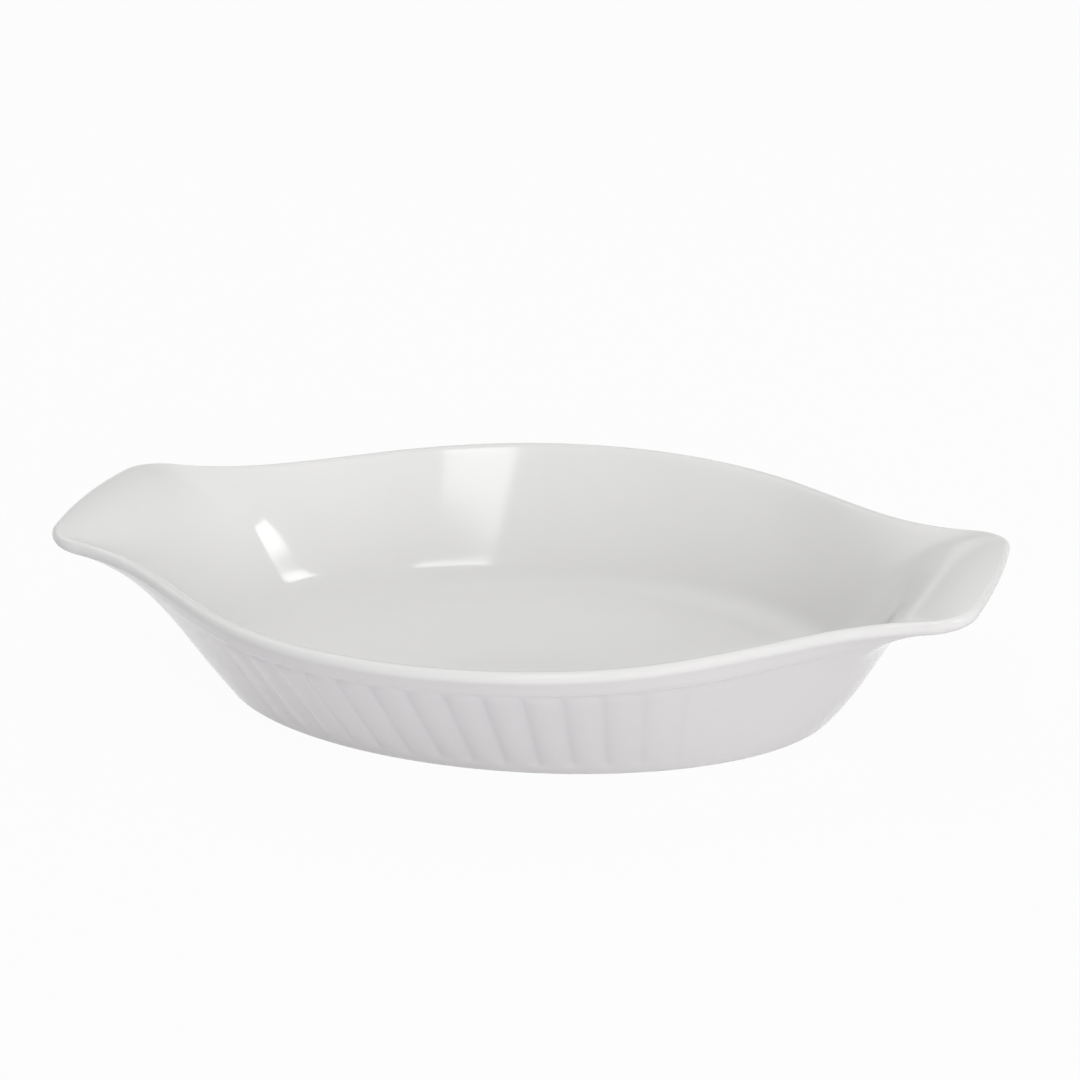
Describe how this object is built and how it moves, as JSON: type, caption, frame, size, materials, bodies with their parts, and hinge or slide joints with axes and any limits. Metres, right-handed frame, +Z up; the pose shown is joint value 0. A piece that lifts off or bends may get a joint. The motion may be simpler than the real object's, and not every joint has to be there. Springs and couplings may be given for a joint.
{
  "type": "lasagna dish",
  "caption": "Shallow oval baking dish in white glazed ceramic, with a leaning wall ribbed along its long sides and a flared ear at each end to lift it by, for lasagna and gratins.",
  "frame": {"origin": "on the table under the middle of the foot", "axes": "+X along the dish through both ears, +Y across it, +Z up out of the open top"},
  "size_m": [0.28, 0.176, 0.0492],
  "materials": {
    "white_glaze": "gloss"
  },
  "bodies": {
    "root": {"dish": "white_glaze"}
  },
  "joints": []
}
